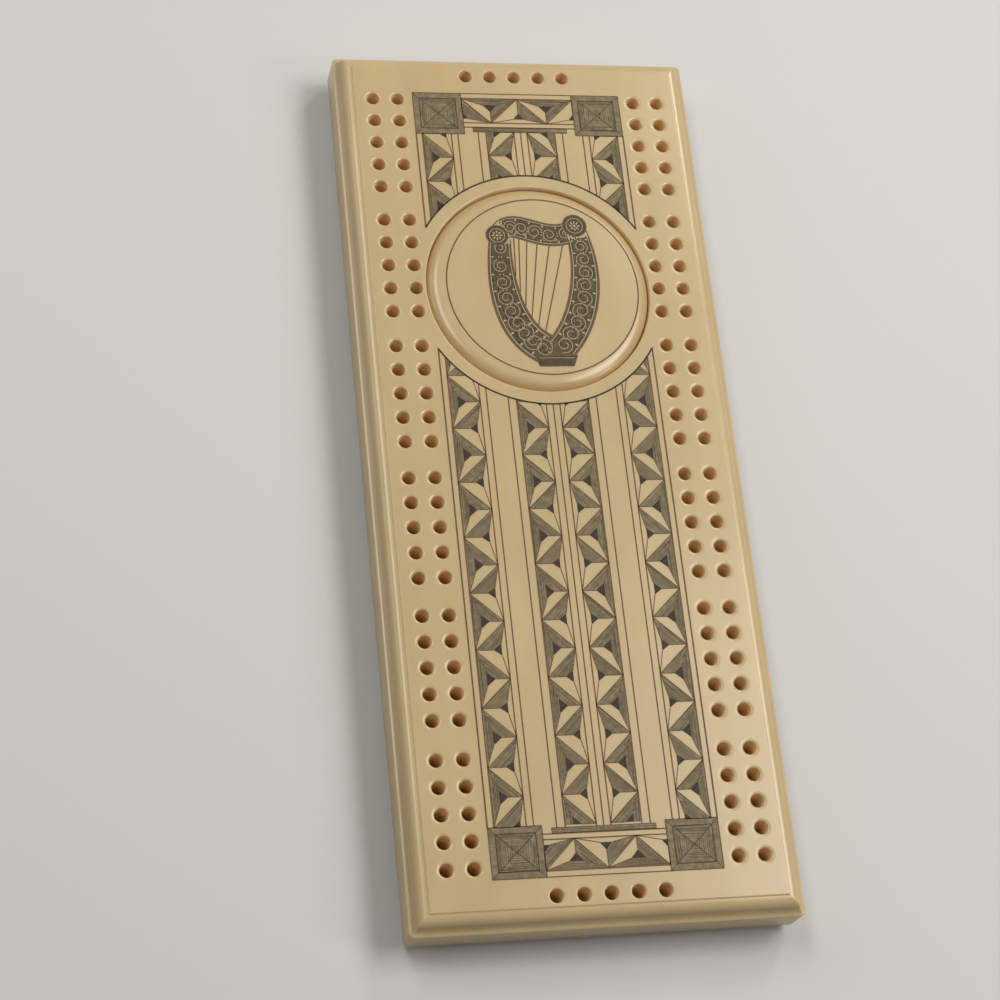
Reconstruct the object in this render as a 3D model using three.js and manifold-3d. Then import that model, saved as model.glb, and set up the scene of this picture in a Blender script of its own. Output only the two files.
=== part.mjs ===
// A scrimshaw cribbage board: a drilled, ogee-edged slab with an inset round medallion, rubber feet,
// and on its underside a peg pocket that a swinging brass plate closes over six turned pegs.
// Millimetres, +Z up, +Y along the board. The origin is the centre of the surface that the feet stand on.
import * as THREE from "three";
import { mergeVertices } from "three/addons/utils/BufferGeometryUtils.js";
import Module from "manifold-3d";

const wasm = await Module();
wasm.setup();

// ---- Driving dimensions ----

// Slab
const BOARD_WIDTH = 92.4;
const BOARD_LENGTH = 227.2;
const SLAB_THICKNESS = 12.7;
const FOOT_HEIGHT = 3;
const UNDERSIDE_Z = FOOT_HEIGHT;
const TOP_Z = UNDERSIDE_Z + SLAB_THICKNESS;
const BOTTOM_CHAMFER = 0.5;

// Ogee edge, from the playing face outwards and down
const QUIRK_STEP = 0.7;
const ROLL_WIDTH = 2.6;
const ROLL_DROP = 1.9;
const COVE_WIDTH = 1.7;
const COVE_DROP = 1.6;
const OGEE_STEPS = 4;

// Peg holes: two tracks of thirty on each side in groups of five, and a row of five at each end
const HOLE_PITCH = 6.35;
const HOLE_RADIUS = 1.6;
const HOLE_DEPTH = 9.5;
const HOLE_SIDES = 8;
const COUNTERSINK_RADIUS = 2.2;
const COUNTERSINK_DEPTH = 0.6;
const GROUP_COUNT = 6;
const HOLES_PER_GROUP = 5;
const GROUP_GAP = 9.4;
const INNER_TRACK_X = 30.9;
const END_ROW_GAP = 7;

// Medallion, a round disc set in a recess
const MEDALLION_Y = 46;
const RECESS_RADIUS = 28.3;
const RECESS_DEPTH = 5;
const RECESS_SIDES = 64;
const FIT_GAP = 0.3;
const DISC_CROWN = 0.7;
const DISC_SHOULDER_RADIUS = 25.7;
const DISC_SHOULDER_HEIGHT = 0.4;
const DISC_SHOULDER_WIDTH = 1.4;
const DISC_SHOULDER_DROP = 2.2;
const GROOVE_FLAT_DROP = 0.3;

// Peg pocket, pegs and the swinging plate over them
const POCKET_WIDTH = 27;
const POCKET_LENGTH = 39;
const POCKET_DEPTH = 6;
const POCKET_CORNER = 3;
const POCKET_Y = -20;
const LINER_THICKNESS = 0.8;
const PEG_COUNT = 6;
const PEG_SPACING = 4.3;
const PEG_LENGTH = 32;
const PEG_HEAD_RADIUS = 1.9;
const PEG_END_CLEARANCE = 0.5;
const PLATE_THICKNESS = 1.2;
const PLATE_GAP = 0.15;
const PLATE_WIDTH = 33;
const PLATE_END_MARGIN = 6.5;
const PLATE_CORNER = 5;
const PIVOT_TO_KEEPER = 52;
const PIVOT_Y = POCKET_Y - PIVOT_TO_KEEPER / 2;
const PLATE_TOP_Z = UNDERSIDE_Z - PLATE_GAP;
const PLATE_BOTTOM_Z = PLATE_TOP_Z - PLATE_THICKNESS;

// Screws, the threaded inserts that hold them, and the washer under the plate
const SHANK_RADIUS = 1.3;
const SHANK_HOLE_RADIUS = SHANK_RADIUS + FIT_GAP;
const INSERT_RADIUS = 2.5;
const INSERT_LENGTH = 7;
const PLATE_HOLE_RADIUS = 1.5;
const SCREW_DEPTH = 6.5;
const SCREW_HEAD_RADIUS = 2.8;
const SCREW_HEAD_HEIGHT = 0.75;
const SCREW_SLOT_WIDTH = 0.7;
const SCREW_SLOT_DEPTH = 0.4;
const WASHER_THICKNESS = 0.3;
const WASHER_RADIUS = 3.4;
const STACK_GAP = 0.05;

// Feet
const FOOT_RADIUS = 5;
const FOOT_X = 34;
const FOOT_Y = 95;
const FOOT_DRAFT = 0.6;

// ---- Materials ----

const resin = new THREE.MeshStandardMaterial({ color: 0xd9c79a, roughness: 0.35, metalness: 0 });
const brass = new THREE.MeshStandardMaterial({ color: 0xc9a24a, roughness: 0.3, metalness: 1 });
const steel = new THREE.MeshStandardMaterial({ color: 0xb9bcc0, roughness: 0.25, metalness: 1 });
const rubber = new THREE.MeshStandardMaterial({ color: 0x1d1d1d, roughness: 0.9, metalness: 0 });
const felt = new THREE.MeshStandardMaterial({ color: 0x1f4a33, roughness: 1, metalness: 0 });

// ---- Solid helpers ----

// A closed three.js geometry as a manifold-3d solid.
function solid(geometry) {
  const bare = geometry.index ? geometry.toNonIndexed() : geometry.clone();
  bare.deleteAttribute("normal");
  bare.deleteAttribute("uv");
  const merged = mergeVertices(bare, 1e-4);
  return new wasm.Manifold(
    new wasm.Mesh({
      numProp: 3,
      vertProperties: new Float32Array(merged.attributes.position.array),
      triVerts: new Uint32Array(merged.index.array),
    }),
  );
}

// A manifold-3d solid as a three.js geometry.
function geometryOf(shape) {
  const mesh = shape.getMesh();
  const geometry = new THREE.BufferGeometry();
  geometry.setAttribute("position", new THREE.BufferAttribute(mesh.vertProperties, 3));
  geometry.setIndex(new THREE.BufferAttribute(mesh.triVerts, 1));
  geometry.computeVertexNormals();
  return geometry;
}

// A solid turned about the Z axis from [radius, z] points that run up the outside, base to top.
function turned(profile, sides) {
  const points = profile.map(([radius, z]) => new THREE.Vector2(radius, z));
  return new THREE.LatheGeometry(points, sides).rotateX(Math.PI / 2);
}

// A flat outline in the XY plane, extruded from one height to another.
function prism(shape, bottom, top, curveSegments = 8) {
  const options = { depth: top - bottom, bevelEnabled: false, curveSegments };
  return new THREE.ExtrudeGeometry(shape, options).translate(0, 0, bottom);
}

// A rectangle with round corners, centred on (0, y).
function roundedRectangle(width, length, corner, y) {
  const [x, low, high] = [width / 2, y - length / 2, y + length / 2];
  const shape = new THREE.Shape();
  shape.moveTo(-x + corner, low);
  shape.lineTo(x - corner, low);
  shape.absarc(x - corner, low + corner, corner, -Math.PI / 2, 0);
  shape.absarc(x - corner, high - corner, corner, 0, Math.PI / 2);
  shape.absarc(-x + corner, high - corner, corner, Math.PI / 2, Math.PI);
  shape.absarc(-x + corner, low + corner, corner, Math.PI, 1.5 * Math.PI);
  return shape;
}

function named(name, geometry, material) {
  const mesh = new THREE.Mesh(geometry, material);
  mesh.name = name;
  return mesh;
}

// ---- Slab ----

// The edge section as [inset from the outer face, z], from the underside round to the playing face.
function edgeProfile() {
  const playingFaceInset = ROLL_WIDTH + COVE_WIDTH;
  const rollTop = TOP_Z - QUIRK_STEP;
  const coveTop = rollTop - ROLL_DROP;
  const points = [
    [BOTTOM_CHAMFER, UNDERSIDE_Z],
    [0, UNDERSIDE_Z + BOTTOM_CHAMFER],
  ];
  for (let i = 0; i <= OGEE_STEPS; i++) {
    const angle = ((1 - i / OGEE_STEPS) * Math.PI) / 2;
    points.push([COVE_WIDTH * Math.cos(angle), coveTop - COVE_DROP * Math.sin(angle)]);
  }
  for (let i = 1; i <= OGEE_STEPS; i++) {
    const angle = (i / OGEE_STEPS) * (Math.PI / 2);
    const out = ROLL_WIDTH * (1 - Math.cos(angle));
    points.push([COVE_WIDTH + out, coveTop + ROLL_DROP * Math.sin(angle)]);
  }
  points.push([playingFaceInset, TOP_Z]);
  return points;
}

// A rectangular slab whose four sides follow the edge section and meet in mitres.
function mouldedBlank() {
  const profile = edgeProfile();
  const positions = [];
  for (const [inset, z] of profile) {
    const x = BOARD_WIDTH / 2 - inset;
    const y = BOARD_LENGTH / 2 - inset;
    positions.push(-x, -y, z, x, -y, z, x, y, z, -x, y, z);
  }
  const index = [2, 1, 0, 3, 2, 0];
  for (let ring = 0; ring < profile.length - 1; ring++) {
    for (let side = 0; side < 4; side++) {
      const a = 4 * ring + side;
      const b = 4 * ring + ((side + 1) % 4);
      index.push(a, b, b + 4, a, b + 4, a + 4);
    }
  }
  const last = 4 * (profile.length - 1);
  index.push(last, last + 1, last + 2, last, last + 2, last + 3);
  const geometry = new THREE.BufferGeometry();
  geometry.setAttribute("position", new THREE.Float32BufferAttribute(positions, 3));
  geometry.setIndex(index);
  return geometry;
}

// The [x, y] centres of all the peg holes.
function holeCentres() {
  const groupStep = (HOLES_PER_GROUP - 1) * HOLE_PITCH + GROUP_GAP;
  const trackLength = GROUP_COUNT * groupStep - GROUP_GAP;
  const centres = [];
  for (let group = 0; group < GROUP_COUNT; group++) {
    for (let hole = 0; hole < HOLES_PER_GROUP; hole++) {
      const y = group * groupStep + hole * HOLE_PITCH - trackLength / 2;
      for (const x of [INNER_TRACK_X, INNER_TRACK_X + HOLE_PITCH]) centres.push([x, y], [-x, y]);
    }
  }
  for (let hole = 0; hole < HOLES_PER_GROUP; hole++) {
    const x = (hole - (HOLES_PER_GROUP - 1) / 2) * HOLE_PITCH;
    const y = trackLength / 2 + END_ROW_GAP;
    centres.push([x, y], [x, -y]);
  }
  return centres;
}

// The cutter for one countersunk peg hole, standing a little above the playing face.
function holeCutter() {
  const flare = (COUNTERSINK_RADIUS - HOLE_RADIUS) / COUNTERSINK_DEPTH;
  const above = 0.5;
  const profile = [
    [0, TOP_Z - HOLE_DEPTH],
    [HOLE_RADIUS, TOP_Z - HOLE_DEPTH],
    [HOLE_RADIUS, TOP_Z - COUNTERSINK_DEPTH],
    [COUNTERSINK_RADIUS + above * flare, TOP_Z + above],
    [0, TOP_Z + above],
  ];
  return solid(turned(profile, HOLE_SIDES));
}

function cylinderCutter(radius, x, y, bottom, top, sides) {
  const profile = [
    [0, bottom],
    [radius, bottom],
    [radius, top],
    [0, top],
  ];
  return solid(turned(profile, sides)).translate([x, y, 0]);
}

function slab() {
  let shape = solid(mouldedBlank());
  const cutter = holeCutter();
  let holes = null;
  for (const [x, y] of holeCentres()) {
    const hole = cutter.translate([x, y, 0]);
    holes = holes ? holes.add(hole) : hole;
  }
  shape = shape.subtract(holes);
  const recessFloor = TOP_Z - RECESS_DEPTH;
  shape = shape.subtract(
    cylinderCutter(RECESS_RADIUS, 0, MEDALLION_Y, recessFloor, TOP_Z + 1, RECESS_SIDES),
  );
  const mouth = roundedRectangle(POCKET_WIDTH, POCKET_LENGTH, POCKET_CORNER, POCKET_Y);
  shape = shape.subtract(solid(prism(mouth, UNDERSIDE_Z - 1, UNDERSIDE_Z + POCKET_DEPTH, 4)));
  const boreRadius = INSERT_RADIUS + FIT_GAP;
  const boreTop = UNDERSIDE_Z + INSERT_LENGTH + FIT_GAP;
  for (const y of [PIVOT_Y, PIVOT_Y + PIVOT_TO_KEEPER]) {
    shape = shape.subtract(cylinderCutter(boreRadius, 0, y, UNDERSIDE_Z - 1, boreTop, 16));
  }
  return named("board_slab", geometryOf(shape), resin);
}

// ---- Medallion ----

// A thick disc with a crowned face, a rounded shoulder and a rebate that leaves a groove round it.
function medallion() {
  const rim = RECESS_RADIUS - FIT_GAP;
  const shoulder = DISC_SHOULDER_RADIUS;
  const arcSteps = 4;
  const crownSteps = 2;
  const groove = DISC_SHOULDER_HEIGHT - DISC_SHOULDER_DROP - GROOVE_FLAT_DROP;
  const profile = [
    [0, FIT_GAP - RECESS_DEPTH],
    [rim, FIT_GAP - RECESS_DEPTH],
    [rim, groove],
    [shoulder + DISC_SHOULDER_WIDTH, groove],
  ];
  for (let i = 0; i <= arcSteps; i++) {
    const angle = ((1 - i / arcSteps) * Math.PI) / 2;
    const radius = shoulder + DISC_SHOULDER_WIDTH * Math.sin(angle);
    profile.push([radius, DISC_SHOULDER_HEIGHT - DISC_SHOULDER_DROP * (1 - Math.cos(angle))]);
  }
  for (let i = crownSteps - 1; i >= 0; i--) {
    const share = i / crownSteps;
    const z = DISC_CROWN + (DISC_SHOULDER_HEIGHT - DISC_CROWN) * share ** 2;
    profile.push([shoulder * share, z]);
  }
  const disc = named("medallion_disc", turned(profile, RECESS_SIDES), resin);
  disc.position.set(0, MEDALLION_Y, TOP_Z);
  return disc;
}

// ---- Pocket lining ----

function pocketLiner() {
  const [width, length] = [POCKET_WIDTH - 2 * FIT_GAP, POCKET_LENGTH - 2 * FIT_GAP];
  const outline = roundedRectangle(width, length, POCKET_CORNER - FIT_GAP, POCKET_Y);
  const top = UNDERSIDE_Z + POCKET_DEPTH - FIT_GAP;
  return named("pocket_liner", prism(outline, top - LINER_THICKNESS, top, 4), felt);
}

// ---- Pegs ----

// A turned metal peg lying along +Y, tip first, its head end at the origin.
function pegGeometry() {
  const profile = [
    [0, 0],
    [1.2, 0],
    [PEG_HEAD_RADIUS - 0.2, 0.5],
    [PEG_HEAD_RADIUS - 0.2, 3],
    [1.1, 4],
    [1.1, 5],
    [PEG_HEAD_RADIUS, 6.5],
    [PEG_HEAD_RADIUS, 17],
    [1.45, 19],
    [1.45, 23],
    [1.1, PEG_LENGTH - 0.6],
    [0.7, PEG_LENGTH],
    [0, PEG_LENGTH],
  ];
  return turned(profile, 12).rotateX(-Math.PI / 2);
}

// Six pegs side by side on the closed plate, three of each metal.
function pegs() {
  const tray = new THREE.Group();
  const restZ = PLATE_TOP_Z + PEG_HEAD_RADIUS + 0.1;
  for (let i = 0; i < PEG_COUNT; i++) {
    const metal = i < PEG_COUNT / 2 ? brass : steel;
    const colour = i < PEG_COUNT / 2 ? "brass" : "steel";
    const peg = named(`${colour}_peg_${(i % (PEG_COUNT / 2)) + 1}`, pegGeometry(), metal);
    const x = (i - (PEG_COUNT - 1) / 2) * PEG_SPACING;
    peg.position.set(x, POCKET_Y - POCKET_LENGTH / 2 + PEG_END_CLEARANCE, restZ);
    tray.add(peg);
  }
  return tray;
}

// ---- Pocket plate and its screws ----

// A round-cornered plate with a pivot hole near one end and, near the other, an arc-shaped notch
// centred on the pivot that lets the plate slip sideways from under the keeper screw's head.
function pocketPlate() {
  const length = PIVOT_TO_KEEPER + 2 * PLATE_END_MARGIN;
  const outline = roundedRectangle(PLATE_WIDTH, length, PLATE_CORNER, PIVOT_TO_KEEPER / 2);
  let plate = solid(prism(outline, -PLATE_THICKNESS, 0, 5));
  plate = plate.subtract(
    cylinderCutter(PLATE_HOLE_RADIUS, 0, 0, -PLATE_THICKNESS - 1, 1, 16),
  );
  plate = plate.subtract(solid(prism(keeperNotch(), -PLATE_THICKNESS - 1, 1, 12)));
  const mesh = named("pocket_plate", geometryOf(plate), brass);
  mesh.position.set(0, PIVOT_Y, PLATE_TOP_Z);
  return mesh;
}

// The notch in the plate's own frame, whose origin is the pivot: it runs from the keeper to the +X edge.
function keeperNotch() {
  const half = SHANK_HOLE_RADIUS;
  const atKeeper = Math.PI / 2;
  const pastEdge = atKeeper - (1.3 * PLATE_WIDTH) / 2 / PIVOT_TO_KEEPER;
  const notch = new THREE.Shape();
  notch.absarc(0, 0, PIVOT_TO_KEEPER - half, pastEdge, atKeeper, false);
  notch.absarc(0, PIVOT_TO_KEEPER, half, -atKeeper, -3 * atKeeper, true);
  notch.absarc(0, 0, PIVOT_TO_KEEPER + half, atKeeper, pastEdge, true);
  return notch;
}

// A slotted pan-head screw, driven up into the underside: head down, point up.
function screw(name, y, headTop) {
  const shankTop = UNDERSIDE_Z + SCREW_DEPTH;
  const headBottom = headTop - SCREW_HEAD_HEIGHT;
  const profile = [
    [0, headBottom],
    [0.6 * SCREW_HEAD_RADIUS, headBottom],
    [SCREW_HEAD_RADIUS, headBottom + 0.5 * SCREW_HEAD_HEIGHT],
    [SCREW_HEAD_RADIUS, headTop],
    [SHANK_RADIUS, headTop],
    [SHANK_RADIUS, shankTop - 2],
    [0, shankTop],
  ];
  const slot = new THREE.BoxGeometry(SCREW_SLOT_WIDTH, 3 * SCREW_HEAD_RADIUS, 2 * SCREW_SLOT_DEPTH);
  const body = solid(turned(profile, 20)).subtract(solid(slot.translate(0, 0, headBottom)));
  const mesh = named(name, geometryOf(body), brass);
  mesh.position.set(0, y, 0);
  return mesh;
}

// A plain ring about the Z axis.
function ring(innerRadius, outerRadius, bottom, top, sides) {
  const profile = [
    [innerRadius, bottom],
    [outerRadius, bottom],
    [outerRadius, top],
    [innerRadius, top],
    [innerRadius, bottom],
  ];
  return turned(profile, sides);
}

function pivotWasher() {
  const top = PLATE_BOTTOM_Z - STACK_GAP;
  const shape = ring(PLATE_HOLE_RADIUS, WASHER_RADIUS, top - WASHER_THICKNESS, top, 24);
  const washer = named("pivot_washer", shape, brass);
  washer.position.set(0, PIVOT_Y, 0);
  return washer;
}

function threadedInsert(name, y) {
  const top = UNDERSIDE_Z + INSERT_LENGTH;
  const insert = named(name, ring(SHANK_HOLE_RADIUS, INSERT_RADIUS, UNDERSIDE_Z, top, 16), brass);
  insert.position.set(0, y, 0);
  return insert;
}

function pocketHardware() {
  const hardware = new THREE.Group();
  const washerBottom = PLATE_BOTTOM_Z - STACK_GAP - WASHER_THICKNESS;
  hardware.add(
    pocketPlate(),
    pivotWasher(),
    threadedInsert("pivot_insert", PIVOT_Y),
    threadedInsert("keeper_insert", PIVOT_Y + PIVOT_TO_KEEPER),
    screw("pivot_screw", PIVOT_Y, washerBottom - STACK_GAP),
    screw("keeper_screw", PIVOT_Y + PIVOT_TO_KEEPER, PLATE_BOTTOM_Z - STACK_GAP),
  );
  return hardware;
}

// ---- Feet ----

function feet() {
  const set = new THREE.Group();
  const profile = [
    [0, 0],
    [FOOT_RADIUS - FOOT_DRAFT, 0],
    [FOOT_RADIUS, 0.5 * FOOT_HEIGHT],
    [FOOT_RADIUS, FOOT_HEIGHT],
    [0, FOOT_HEIGHT],
  ];
  for (const [end, y] of [["near", -FOOT_Y], ["far", FOOT_Y]]) {
    for (const [side, x] of [["left", -FOOT_X], ["right", FOOT_X]]) {
      const foot = named(`foot_${end}_${side}`, turned(profile, 24), rubber);
      foot.position.set(x, y, 0);
      set.add(foot);
    }
  }
  return set;
}

// ---- Board ----

const board = new THREE.Group();
board.add(slab(), medallion(), pocketLiner(), pegs(), pocketHardware(), feet());

export default board;
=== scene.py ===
"""The looks of the cribbage board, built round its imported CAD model. Lengths are in millimetres until a
mesh is made. Pieces take their places from the boxes of the CAD nodes, and the holes and the panel are
laid out from the middle of the board."""

import math
import random

import bmesh
import bpy
from mathutils import Matrix, Vector
from mathutils.geometry import delaunay_2d_cdt


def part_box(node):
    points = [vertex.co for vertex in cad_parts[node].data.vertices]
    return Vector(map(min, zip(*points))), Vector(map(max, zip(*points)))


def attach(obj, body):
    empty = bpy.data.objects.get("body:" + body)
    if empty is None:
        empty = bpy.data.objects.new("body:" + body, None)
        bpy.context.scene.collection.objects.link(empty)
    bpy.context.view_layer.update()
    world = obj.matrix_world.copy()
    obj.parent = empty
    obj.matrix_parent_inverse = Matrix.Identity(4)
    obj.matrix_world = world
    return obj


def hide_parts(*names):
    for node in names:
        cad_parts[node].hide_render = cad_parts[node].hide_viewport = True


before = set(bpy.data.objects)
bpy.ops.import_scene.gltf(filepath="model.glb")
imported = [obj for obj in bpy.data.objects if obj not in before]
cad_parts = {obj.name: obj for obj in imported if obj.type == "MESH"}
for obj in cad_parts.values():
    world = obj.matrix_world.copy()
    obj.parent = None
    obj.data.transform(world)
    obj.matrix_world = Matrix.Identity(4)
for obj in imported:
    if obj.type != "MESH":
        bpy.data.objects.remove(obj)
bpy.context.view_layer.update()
MM = 0.001
BODY = "board"


class Box:
    """A CAD node's lowest and highest corner, its middle and its half sizes, in millimetres."""

    def __init__(self, node):
        self.low, self.high = (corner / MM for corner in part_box(node))
        self.middle, self.half = (self.low + self.high) / 2, (self.high - self.low) / 2


# ---- Sizes read from the frame ----

SLAB, DISC = Box("board_slab"), Box("medallion_disc")
PLATE, LINER = Box("pocket_plate"), Box("pocket_liner")
HALF_WIDTH, HALF_LENGTH = SLAB.high.x, SLAB.high.y
BOTTOM, TOP = SLAB.low.z, SLAB.high.z
DISC_X, DISC_Y, DISC_RADIUS = DISC.middle.x, DISC.middle.y, DISC.half.x

# ---- Camera: from the board's near left side ----

AIM_X, AIM_Y = -15.8, -10.79
CAMERA_AZIMUTH = -30.647
CAMERA_ELEVATION = 64.171
CAMERA_DISTANCE = 583.4
CAMERA_ROLL = -6.279
LENS_MM, SENSOR_MM = 88.405, 36.0

# ---- Light ----

LAMP_COLOUR = (1.0, 0.98, 0.95)
WORLD_COLOUR, WORLD_STRENGTH = (1.0, 0.99, 0.97, 1), 0.18

# ---- Edge moulding ----

QUIRK_STEP = 0.38
ROLL_WIDTH, ROLL_DROP = 2.6, 1.9
COVE_WIDTH, COVE_DROP = 1.7, 1.6
MOULDING_WIDTH = ROLL_WIDTH + COVE_WIDTH
ARRIS = 0.24
FACE_INSET = MOULDING_WIDTH + ARRIS + 0.1
FOOT_CHAMFER = 0.5
CORNER_RADIUS = 1.4
LEAST_CORNER_RADIUS = 0.22
CORNER_STEPS = 6

# ---- Peg holes ----

PITCH = 6.35
HOLE_RADIUS, HOLE_DEPTH, HOLE_CONE = 1.6, 9.5, 0.4
HOLE_MOUTH_RADIUS, HOLE_MOUTH_DROP = 2.4, 0.3
HOLE_SIDES = 32
RIM_FLAT = 0.08
GROUPS, HOLES_PER_GROUP = 6, 5
GROUP_GAP = 9.4
INNER_TRACK_X = 30.9
END_ROW_GAP = 7.0

# ---- Medallion ----

RECESS_RADIUS = DISC_RADIUS + 0.3
RECESS_DEPTH = TOP - DISC.low.z + 0.2
LIP = 0.42
ROUND_SIDES = 144
DISC_CROWN = DISC.high.z - TOP
SHOULDER_RADIUS = 24.7
SHOULDER_HEIGHT = 0.4
GROOVE_DROP = 1.9
# Radii from the medallion's centre where its painted shade begins and where it is full.
GROOVE_SHADE_START, GROOVE_SHADE_END = 25.6, 28.6

# ---- Scrimshaw ----

INK_CIRCLE_RADIUS, INK_CIRCLE_SIDES = 31.75, 96
PANEL_X, PANEL_Y = 27.0, 102.0
PANEL_SHIFT = -0.4
BOSS_X, BOSS_Y = 12.5, 11.9
BOSS_FRAME, BOSS_BORDER = 1.55, 1.3
RULED_X = (25.5, 18.0, 16.3, 11.0, 9.0, 1.7)
OUTER_BAND, INNER_BAND = (18.0, 25.5), (1.7, 9.0)
RULED_Y = (100.6, 93.4, 92.1)
END_BAND = (93.4, 100.5)
LEDGE_Y, LEDGE_X = (90.75, 91.95), 12.2
UPPER_CELL, UPPER_CELLS = 6.95, 5
LOWER_CELL, LOWER_CELLS, LOWER_END = 7.037, 17, -90.2
END_CELLS = 4
OUTLINE, RULED_LINE, SIDE_BORDER, END_BORDER, CIRCLE_LINE = 0.2, 0.3, 0.38, 0.26, 0.42
BOSS_MITRE, BOSS_RIDGE, BOSS_RIM = 0.12, 0.17, 0.24
# Hatching as the strokes' spacing and their width as a share of it.
POINT_HATCH, LEDGE_HATCH, STAR_LEDGE_HATCH = (0.42, 0.5), (0.3, 0.5), (0.3, 0.6)
FRAME_HATCH, BORDER_HATCH, PYRAMID_HATCH = (0.4, 0.18), (0.26, 0.6), (0.46, 0.32)
# Each star point's dark notch, as shares of the band's width and of a cell: its tip, its half
# length and its base, against the shaded ledge and against the plain one.
SHADED_NOTCH, PLAIN_NOTCH = (0.46, 0.25, 0.74), (0.58, 0.2, 0.83)
TONE_HEIGHT, STROKE_HEIGHT, LINE_HEIGHT, ORNAMENT_HEIGHT = 0.02, 0.03, 0.04, 0.05
INK_ROOT = 0.12
PANEL_SEED, HARP_SEED = 11, 5


# ---- Shape helpers ----


def polar(x, y, radius, angle):
    return (x + radius * math.cos(angle), y + radius * math.sin(angle))


def circle(x, y, radius, z, sides):
    step = 2 * math.pi / sides
    return [(*polar(x, y, radius, i * step), z) for i in range(sides)]


def rounded_rectangle(half_x, half_y, corner, z, x=0.0, y=0.0):
    points = []
    for quarter, (sx, sy) in enumerate(((1, 1), (-1, 1), (-1, -1), (1, -1))):
        centre = (x + sx * (half_x - corner), y + sy * (half_y - corner))
        for i in range(CORNER_STEPS + 1):
            angle = (quarter + i / CORNER_STEPS) * math.pi / 2
            points.append((*polar(*centre, corner, angle), z))
    return points


def arc(x, z, radius_x, radius_z, start, end, steps):
    """Points of an elliptical arc, angles in degrees."""
    points = []
    for i in range(steps + 1):
        angle = math.radians(start + (end - start) * i / steps)
        points.append((x + radius_x * math.cos(angle), z + radius_z * math.sin(angle)))
    return points


def edges(corners):
    """Each corner with the next one, right round."""
    return zip(corners, corners[1:] + corners[:1])


def placed(name, data):
    """A new object in the scene that shows the mesh, lamp or camera."""
    thing = bpy.data.objects.new(name, data)
    bpy.context.scene.collection.objects.link(thing)
    return thing


class Solid:
    """Vertices in millimetres and faces, gathered in loops, with a material slot for each face."""

    def __init__(self):
        self.verts, self.faces, self.slots = [], [], []

    def loop(self, points):
        start = len(self.verts)
        self.verts.extend(points)
        return list(range(start, len(self.verts)))

    def face(self, corners, slot=0):
        self.faces.append(tuple(corners))
        self.slots.append(slot)

    def bridge(self, a, b, slot=0):
        """Joins two closed loops of the same length."""
        for (a1, a2), (b1, b2) in zip(edges(a), edges(b)):
            self.face((a1, a2, b2, b1), slot)

    def stack(self, loops):
        """Joins each loop to the next one."""
        for low, high in zip(loops, loops[1:]):
            self.bridge(low, high)

    def extend(self, last, points, slot=0):
        """Adds a loop, joins it to the last one and returns it."""
        ring = self.loop(points)
        self.bridge(last, ring, slot)
        return ring

    def fan(self, loop, point, slot=0):
        centre = self.loop([point])
        for edge in edges(loop):
            self.face([*edge, *centre], slot)

    def piece(self, name, materials, slot, body=BODY, nodes=(), sharp=35):
        """A Blender object of these faces. Edges sharper than `sharp` degrees stay crisp."""
        mesh = bpy.data.meshes.new(name)
        mesh.from_pydata([Vector(v) * MM for v in self.verts], [], self.faces)
        for material in materials:
            mesh.materials.append(material)
        mesh.polygons.foreach_set("material_index", self.slots)
        work = bmesh.new()
        work.from_mesh(mesh)
        bmesh.ops.remove_doubles(work, verts=work.verts, dist=1e-7)
        bmesh.ops.recalc_face_normals(work, faces=work.faces)
        limit = math.radians(sharp)
        for face in work.faces:
            face.smooth = True
        for edge in work.edges:
            edge.smooth = edge.is_manifold and edge.calc_face_angle(math.pi) < limit
        work.to_mesh(mesh)
        work.free()
        piece = placed(name, mesh)
        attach(piece, body)
        if nodes:
            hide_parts(*nodes)
        return piece


def lathe(name, node, profile, sides, material, slot, body=BODY, lies=False, knurl=0.0):
    """A turned piece in the place of a CAD node, upright or lying along Y. Its (radius, height) points
    start and end on the axis, or else close on themselves as a ring. A knurl moves every second rib of
    the widest part."""
    solid, (x, y, z) = Solid(), Box(node).middle
    widest = max(radius for radius, _ in profile)
    is_ring = profile[0][0] > 0

    def place(radius, height, i):
        angle = 2 * math.pi * i / sides
        reach = radius + (knurl if radius == widest and i % 2 else 0.0)
        a, b = polar(x, z if lies else y, reach, angle)
        return (a, height, b) if lies else (a, b, height)

    loops = []
    for point in profile if is_ring else profile[1:-1]:
        loops.append(solid.loop([place(*point, i) for i in range(sides)]))
    solid.stack(loops)
    if is_ring:
        solid.bridge(loops[-1], loops[0])
    else:
        solid.fan(loops[0], place(*profile[0], 0))
        solid.fan(loops[-1], place(*profile[-1], 0))
    return solid.piece(name, [material], slot, body=body, nodes=[node])


# ---- Materials ----

IVORY_ROUGHNESS, IVORY_WEAR = 0.238, 0.03
# The warm brown of the painted shade round the medallion's groove.
GROOVE_SHADE_COLOUR = (0.44, 0.285, 0.115)
STROKE_GRAIN = 2500


def node_material(name, base, roughness, metallic=0.0, **sockets):
    """A Principled material with its even values on the shader's own sockets."""
    material = bpy.data.materials.new(name)
    material.use_nodes = True
    shader = material.node_tree.nodes["Principled BSDF"]
    shader.inputs["Base Color"].default_value = (*base, 1)
    shader.inputs["Roughness"].default_value = roughness
    shader.inputs["Metallic"].default_value = metallic
    for socket, value in sockets.items():
        shader.inputs[socket].default_value = value
    return material, material.node_tree, shader


def add_node(tree, kind, inputs):
    """A new shader node. Each input is set to a value or linked to another node's output."""
    node = tree.nodes.new(f"ShaderNode{kind}")
    for socket, value in inputs.items():
        if isinstance(value, bpy.types.NodeSocket):
            tree.links.new(value, node.inputs[socket])
        else:
            node.inputs[socket].default_value = value
    return node


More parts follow.
